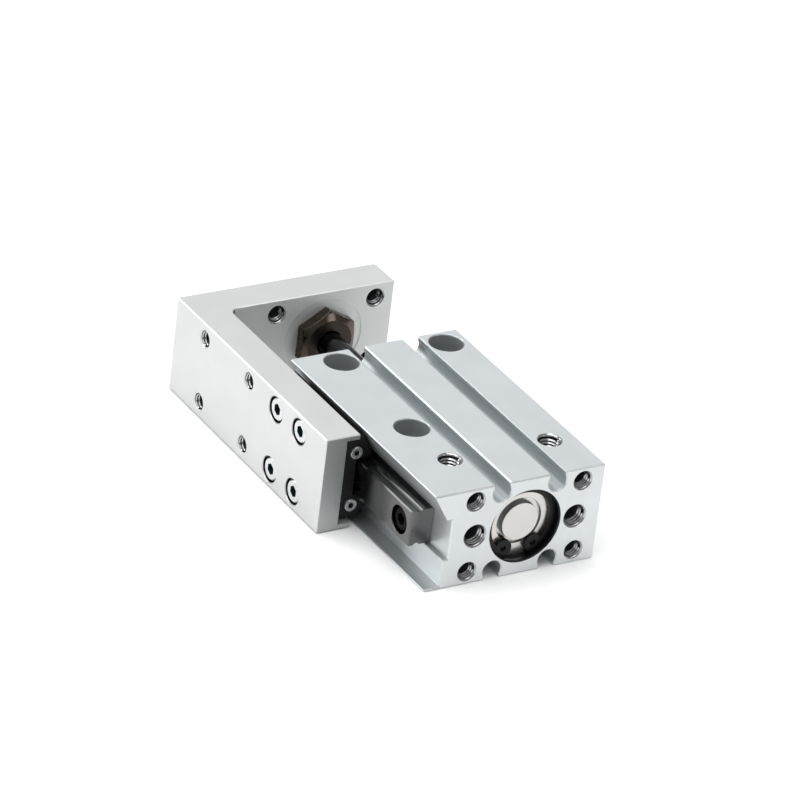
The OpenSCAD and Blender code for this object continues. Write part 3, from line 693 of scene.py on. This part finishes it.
class SLIDETABLE_OT_body(Operator):
    """Dress the extruded body: broken edges, drawn sides and milled ends"""
    bl_idname = "slide_table.body"
    bl_label = "Body"

    def execute(self, context):
        edge = sizes().body_edge
        obj = dressed("cylinder_body", "body_extrusion", edge, angles=CHAMFERED)
        finish_with(obj, "extrusion", "cut_end", "painted_deep_shade", "tapped", "painted_soft_shade", "groove")
        paint_faces(obj, "cut_end", lambda face: (
            abs(face.normal.y) > 0.6
            and not edge + NEAR < face.center.y < BODY_HIGH.y - edge - NEAR))
        # The walls of the switch grooves are painted darker as shade
        paint_faces(obj, "groove", self.in_groove(edge))
        # Tapped holes keep bare mouths; their walls are painted dark as shade
        paint_tapped(obj, REAR_PORTS, depth=8 * MM)
        paint_tapped(obj, TOP_PORTS, depth=14 * MM)
        paint_tapped(obj, REAR_BOLTS, depth=9 * MM)
        # The counterbores are painted grey as shade
        seat = mount("body_counterbore_plain_side")[1]
        bottom = seat["length_mm"] * MM + 2 * NEAR
        for mouth in BODY_BOLTS.mouths:
            paint_faces(obj, "painted_soft_shade", in_bore(
                mouth, DOWN, seat["r_mm"] * MM + NEAR, NEAR, bottom))
        # The through holes below the counterbores are painted dark as shade
        through = BODY_HIGH.z - BODY_LOW.z - 0.5 * MM
        paint_holes(obj, "painted_deep_shade", BODY_BOLTS, SKIN, bottom, through)
        # The groove of the head cover's retaining ring is painted dark as shade
        paint_faces(obj, "painted_deep_shade", in_bore(
            (0, 0, 0), INTO_Y, RING_GROOVE_R + NEAR, NEAR, HEAD_BACK + 2 * NEAR))
        stand_for(obj, "cylinder_body", BODY)
        return {"FINISHED"}

    @staticmethod
    def in_groove(edge):
        """A test for the walls of the switch grooves, below the middle of their broken edges"""
        half = GROOVE_D / 2 + NEAR
        shallow = BODY_HIGH.z - edge / 2 - NEAR
        deep = BODY_HIGH.z - GROOVE_SINK - half
        return lambda face: (
            abs(face.normal.y) < 0.5 and deep < abs(face.center.z) < shallow
            and GROOVE_X - half < abs(face.center.x) < GROOVE_X + half)


class SLIDETABLE_OT_covers(Operator):
    """Dress the turned covers and their retaining rings"""
    bl_idname = "slide_table.covers"
    bl_label = "Covers and Rings"

    def execute(self, context):
        edge = sizes().fine_edge
        for node, name in (("head_cover", "turned_head_cover"),
                           ("rod_cover", "turned_rod_cover")):
            obj = dressed(node, name, edge, segments=2)
            finish_with(obj, "turned", "painted_soft_shade")
            # The groove round the boss is painted as shade
            paint_faces(obj, "painted_soft_shade", self.round_boss(obj))
            stand_for(obj, node, BODY)
        for node, name in (("head_retaining_ring", "stamped_head_ring"),
                           ("rod_cover_retaining_ring", "stamped_rod_ring")):
            obj = dressed(node, name, edge, segments=2)
            finish_with(obj, "spring")
            stand_for(obj, node, BODY)
        return {"FINISHED"}

    @staticmethod
    def round_boss(obj):
        """A test for faces whose corners all lie in the groove round the head cover's boss"""
        inner, outer, back = BOSS_R - 0.02 * MM, BOSS_R + BOSS_MOAT, 8 * MM

        def test(face):
            corners = [obj.data.vertices[i].co for i in face.vertices]
            return all(
                inner < math.hypot(v.x, v.z) < outer and 0 < v.y < back for v in corners)

        return test


class SLIDETABLE_OT_rail(Operator):
    """Dress the guide rail and its screws"""
    bl_idname = "slide_table.rail"
    bl_label = "Rail"

    def execute(self, context):
        s = sizes()
        obj = dressed("guide_rail", "ground_rail", s.rail_edge, angles=CHAMFERED)
        finish_with(obj, "rail")
        stand_for(obj, "guide_rail", BODY)
        # The black oxide screws are made as black as the shade deep in the rail's holes
        obj = dressed("rail_screws", "rail_cap_screws", s.fine_edge, segments=2)
        finish_with(obj, "black_oxide_and_shade")
        stand_for(obj, "rail_screws", BODY)
        return {"FINISHED"}


# ---- pieces of the table ----

class SLIDETABLE_OT_table(Operator):
    """Dress the milled table"""
    bl_idname = "slide_table.table"
    bl_label = "Table"

    def execute(self, context):
        obj = dressed("slide_table", "milled_table", sizes().table_edge, angles=CHAMFERED)
        finish_with(obj, "table", "table_inner", "painted_deep_shade", "tapped", "rear_end_shade")
        # The rear end of the table is painted greyer as shade
        paint_faces(obj, "rear_end_shade", lambda face: (
            face.normal.y < -0.9 and face.center.y < TABLE_LOW.y + 0.3 * MM))
        # The fillet in the corner is painted dark as shade
        paint_faces(obj, "painted_deep_shade", self.in_corner)
        paint_faces(obj, "table_inner", lambda face: (
            face.normal.y < -0.9 and face.center.y > INNER_Y - 0.3 * MM))
        # Walls of the side bolt holes and the counterbores over the cap screws are painted dark
        # as shade
        paint_holes(obj, "painted_deep_shade", SIDE_BOLTS, NEAR, 0.25 * MM, SIDE_REACH)
        for _, y, z in screw_tops():
            paint_faces(obj, "painted_deep_shade", in_bore(
                (TABLE_LOW.x, y, z), INTO_X, HEAD_HOLE_R + NEAR, 2 * NEAR, SIDE_REACH))
        # The end plate's holes keep bare mouths at both faces; their walls between are painted
        # dark as shade
        paint_holes(obj, "tapped", END_BOLTS, MOUTH, SKIN, END_T - SKIN)
        paint_holes(obj, "painted_deep_shade", END_BOLTS, NEAR, MOUTH_H, END_T - MOUTH_H)
        stand_for(obj, "slide_table", TABLE)
        return {"FINISHED"}

    @staticmethod
    def in_corner(face):
        """The part of the fillet inside the L that is next to the table's side, which is
        painted dark as shade
        """
        at, normal = face.center, face.normal
        return (normal.x > 0.45 and abs(normal.z) < 0.3
                and CORNER_X < at.x < CORNER_X + CORNER_R
                and INNER_Y - CORNER_R + NEAR < at.y < INNER_Y)


class SLIDETABLE_OT_carriage(Operator):
    """Dress the guide carriage: block, end caps, end seals and their screws"""
    bl_idname = "slide_table.carriage"
    bl_label = "Carriage"

    def execute(self, context):
        s = sizes()
        obj = dressed("carriage_block", "ground_carriage", s.fine_edge)
        finish_with(obj, "rail")
        stand_for(obj, "carriage_block", TABLE)
        for node, name in (("rear_end_cap", "moulded_rear_cap"),
                           ("front_end_cap", "moulded_front_cap")):
            obj = dressed(node, name, s.moulded_edge, segments=3)
            finish_with(obj, "acetal")
            stand_for(obj, node, TABLE)
        for node, name in (("rear_end_seal", "moulded_rear_seal"),
                           ("front_end_seal", "moulded_front_seal")):
            obj = dressed(node, name, s.moulded_edge, segments=3)
            finish_with(obj, "nitrile")
            stand_for(obj, node, TABLE)
        obj = dressed("end_cap_screws", "end_cap_round_screws", s.fine_edge, segments=2)
        finish_with(obj, "zinc", "painted_deep_shade")
        # Their round sockets are painted dark as shade
        low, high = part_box("end_cap_screws")
        for y, into in ((low.y, 1), (high.y, -1)):
            for z in (low.z + CAP_HEAD_D / 2, high.z - CAP_HEAD_D / 2):
                paint_faces(obj, "painted_deep_shade", in_bore(
                    ((low.x + high.x) / 2, y, z), (0, into, 0), CAP_SOCKET_R, SKIN, 0.7 * MM))
        stand_for(obj, "end_cap_screws", TABLE)
        return {"FINISHED"}


class SLIDETABLE_OT_table_screws(Operator):
    """Dress the four cap screws that hold the table to the carriage"""
    bl_idname = "slide_table.table_screws"
    bl_label = "Table Screws"

    def execute(self, context):
        obj = dressed("table_screws", "table_cap_screws", sizes().fine_edge, segments=2)
        finish_with(obj, "zinc", "socket_tint_and_shade")
        # The sockets are painted the plating's teal, darkened as shade
        for top in screw_tops():
            paint_faces(obj, "socket_tint_and_shade", in_bore(top, INTO_X, SOCKET_R, 0.12 * MM, 2.0 * MM))
        stand_for(obj, "table_screws", TABLE)
        return {"FINISHED"}


class SLIDETABLE_OT_drive(Operator):
    """Dress the floating bushing and the piston rod"""
    bl_idname = "slide_table.drive"
    bl_label = "Bushing and Rod"

    def execute(self, context):
        edge = sizes().fine_edge
        obj = dressed("floating_bushing", "bronzed_bushing", edge, segments=2)
        finish_with(obj, "bronzed", "black_oxide_and_shade", "bronzed_edge_highlight")
        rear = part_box("floating_bushing")[0].y
        # The chamfer of the hexagon's rear face is painted lighter as a highlight
        paint_faces(obj, "bronzed_edge_highlight", lambda face: (
            -0.95 < face.normal.y < -0.6 and face.center.y < rear + HEXAGON_RIM_H
            and math.hypot(face.center.x, face.center.z) > HEXAGON_FACE_R))
        # The bore of the bushing is painted black as shade
        paint_faces(obj, "black_oxide_and_shade", in_bore(
            (0, rear, 0), INTO_Y, BUSHING_BORE_R, NEAR, 12 * MM))
        stand_for(obj, "floating_bushing", TABLE)
        obj = dressed("piston_rod", "chromed_rod", edge, segments=2)
        # The rod's colour is darkened as a painted reflection
        finish_with(obj, "rod")
        stand_for(obj, "piston_rod", TABLE)
        return {"FINISHED"}


class SLIDETABLE_OT_inner(Operator):
    """Give the pieces inside the cylinder and the guide their finishes"""
    bl_idname = "slide_table.inner"
    bl_label = "Inner Pieces"

    FINISH = {
        "head_cover_oring": "nitrile", "rod_cover_oring": "nitrile", "rod_seal": "nitrile",
        "piston_seal": "nitrile", "head_bumper": "bumper", "rod_bumper": "bumper",
        "rod_bushing": "bronze", "guide_balls": "ball", "piston": "turned",
        "piston_magnet": "magnet", "piston_wear_ring": "wear", "piston_nut": "zinc",
    }

    def execute(self, context):
        for node, finish in self.FINISH.items():
            for held in NODES[node].material_slots:
                held.material = finishes[finish]
        return {"FINISHED"}


# ---- stage ----

# Place in millimetres, turn in degrees, and focal length for a 36 mm sensor
CAMERA_AT = (-600.09, -844.54, 595.88)
CAMERA_TURN = (61.063838, -6.273229, -30.216108)
CAMERA_LENS = 241.26

# Each soft light's place, width, height and the size that holds its power. They aim at AIM.
AIM = (0, 0.05, 0)
SOFTBOXES = {
    "overhead_softbox": ((-0.1, 0.0, 1.1), 1.2, 1.2, "key_power"),
    "side_softbox": ((-1.0, 0.1, 0.5), 0.8, 0.8, "side_power"),
    "back_softbox": ((0.62, 0.95, 0.62), 1.4, 1.0, "back_power"),
    "edge_softbox": ((-0.74, 0.95, 0.5), 0.45, 0.8, "edge_power"),
    "fill_softbox": ((0.62, -0.95, 0.45), 0.32, 0.22, "fill_power"),
}


def softbox(name, at, width, height, power):
    """A rectangular soft light"""
    bpy.ops.object.light_add(type="AREA", location=at)
    light = bpy.context.object
    light.name = name
    light.data.shape = "RECTANGLE"
    light.data.size = width
    light.data.size_y = height
    light.data.energy = power
    light.rotation_euler = (Vector(AIM) - Vector(at)).to_track_quat("-Z", "Y").to_euler()


class SLIDETABLE_OT_stage(Operator):
    """Add the floor, the soft lights and the camera"""
    bl_idname = "slide_table.stage"
    bl_label = "Stage"

    def execute(self, context):
        s, scene = sizes(), context.scene
        bpy.ops.object.select_all(action="DESELECT")
        bpy.ops.mesh.primitive_plane_add(size=s.floor_reach, location=(0, 0, BODY_LOW.z))
        floor = context.object
        floor.name = "studio_floor"
        settle(floor)
        edit(floor, lambda: bpy.ops.mesh.extrude_region_move(
            TRANSFORM_OT_translate={"value": (0, 0, -4 * MM)}))
        edit(floor, lambda: bpy.ops.mesh.normals_make_consistent(inside=False))
        finish_with(floor, "floor")
        for name, (at, width, height, power) in SOFTBOXES.items():
            softbox(name, at, width, height, getattr(s, power))
        world = bpy.data.worlds.new("Studio Room")
        scene.world = world
        world.use_nodes = True
        room = world.node_tree.nodes["Background"].inputs
        room["Color"].default_value = (1, 1, 1, 1)
        room["Strength"].default_value = s.room_level
        scene.view_settings.view_transform = "Standard"
        bpy.ops.object.camera_add(
            location=[v * MM for v in CAMERA_AT],
            rotation=[math.radians(v) for v in CAMERA_TURN])
        camera = context.object
        camera.data.sensor_width = 36.0
        camera.data.lens = CAMERA_LENS
        camera.data.clip_end = 20.0
        scene.camera = camera
        return {"FINISHED"}


class SLIDETABLE_PT_panel(Panel):
    """Lists the pieces, and the sizes and colours they are built from"""
    bl_idname = "SLIDETABLE_PT_panel"
    bl_label = "Slide Table"
    bl_space_type = "VIEW_3D"
    bl_region_type = "UI"
    bl_category = "Slide Table"

    def draw(self, context):
        for operator in OPERATORS:
            self.layout.operator(operator.bl_idname)
        for group in (sizes(), colours()):
            column = self.layout.column()
            for name in group.__annotations__:
                column.prop(group, name)


OPERATORS = (
    SLIDETABLE_OT_finishes,
    SLIDETABLE_OT_body,
    SLIDETABLE_OT_covers,
    SLIDETABLE_OT_rail,
    SLIDETABLE_OT_table,
    SLIDETABLE_OT_carriage,
    SLIDETABLE_OT_table_screws,
    SLIDETABLE_OT_drive,
    SLIDETABLE_OT_threads,
    SLIDETABLE_OT_inner,
    SLIDETABLE_OT_stage,
)
CLASSES = (SlideTableSizes, SlideTableColours) + OPERATORS + (SLIDETABLE_PT_panel,)


def register():
    for item in CLASSES:
        bpy.utils.register_class(item)
    bpy.types.Scene.slide_table_sizes = PointerProperty(type=SlideTableSizes)
    bpy.types.Scene.slide_table_colours = PointerProperty(type=SlideTableColours)


def unregister():
    del bpy.types.Scene.slide_table_colours
    del bpy.types.Scene.slide_table_sizes
    for item in reversed(CLASSES):
        bpy.utils.unregister_class(item)


def main():
    register()
    bpy.ops.slide_table.finishes()
    bpy.ops.slide_table.stage()
    bpy.ops.slide_table.body()
    bpy.ops.slide_table.covers()
    bpy.ops.slide_table.rail()
    bpy.ops.slide_table.table()
    bpy.ops.slide_table.carriage()
    bpy.ops.slide_table.table_screws()
    bpy.ops.slide_table.drive()
    bpy.ops.slide_table.threads()
    bpy.ops.slide_table.inner()
    bpy.ops.object.select_all(action="DESELECT")


if __name__ == "__main__":
    main()
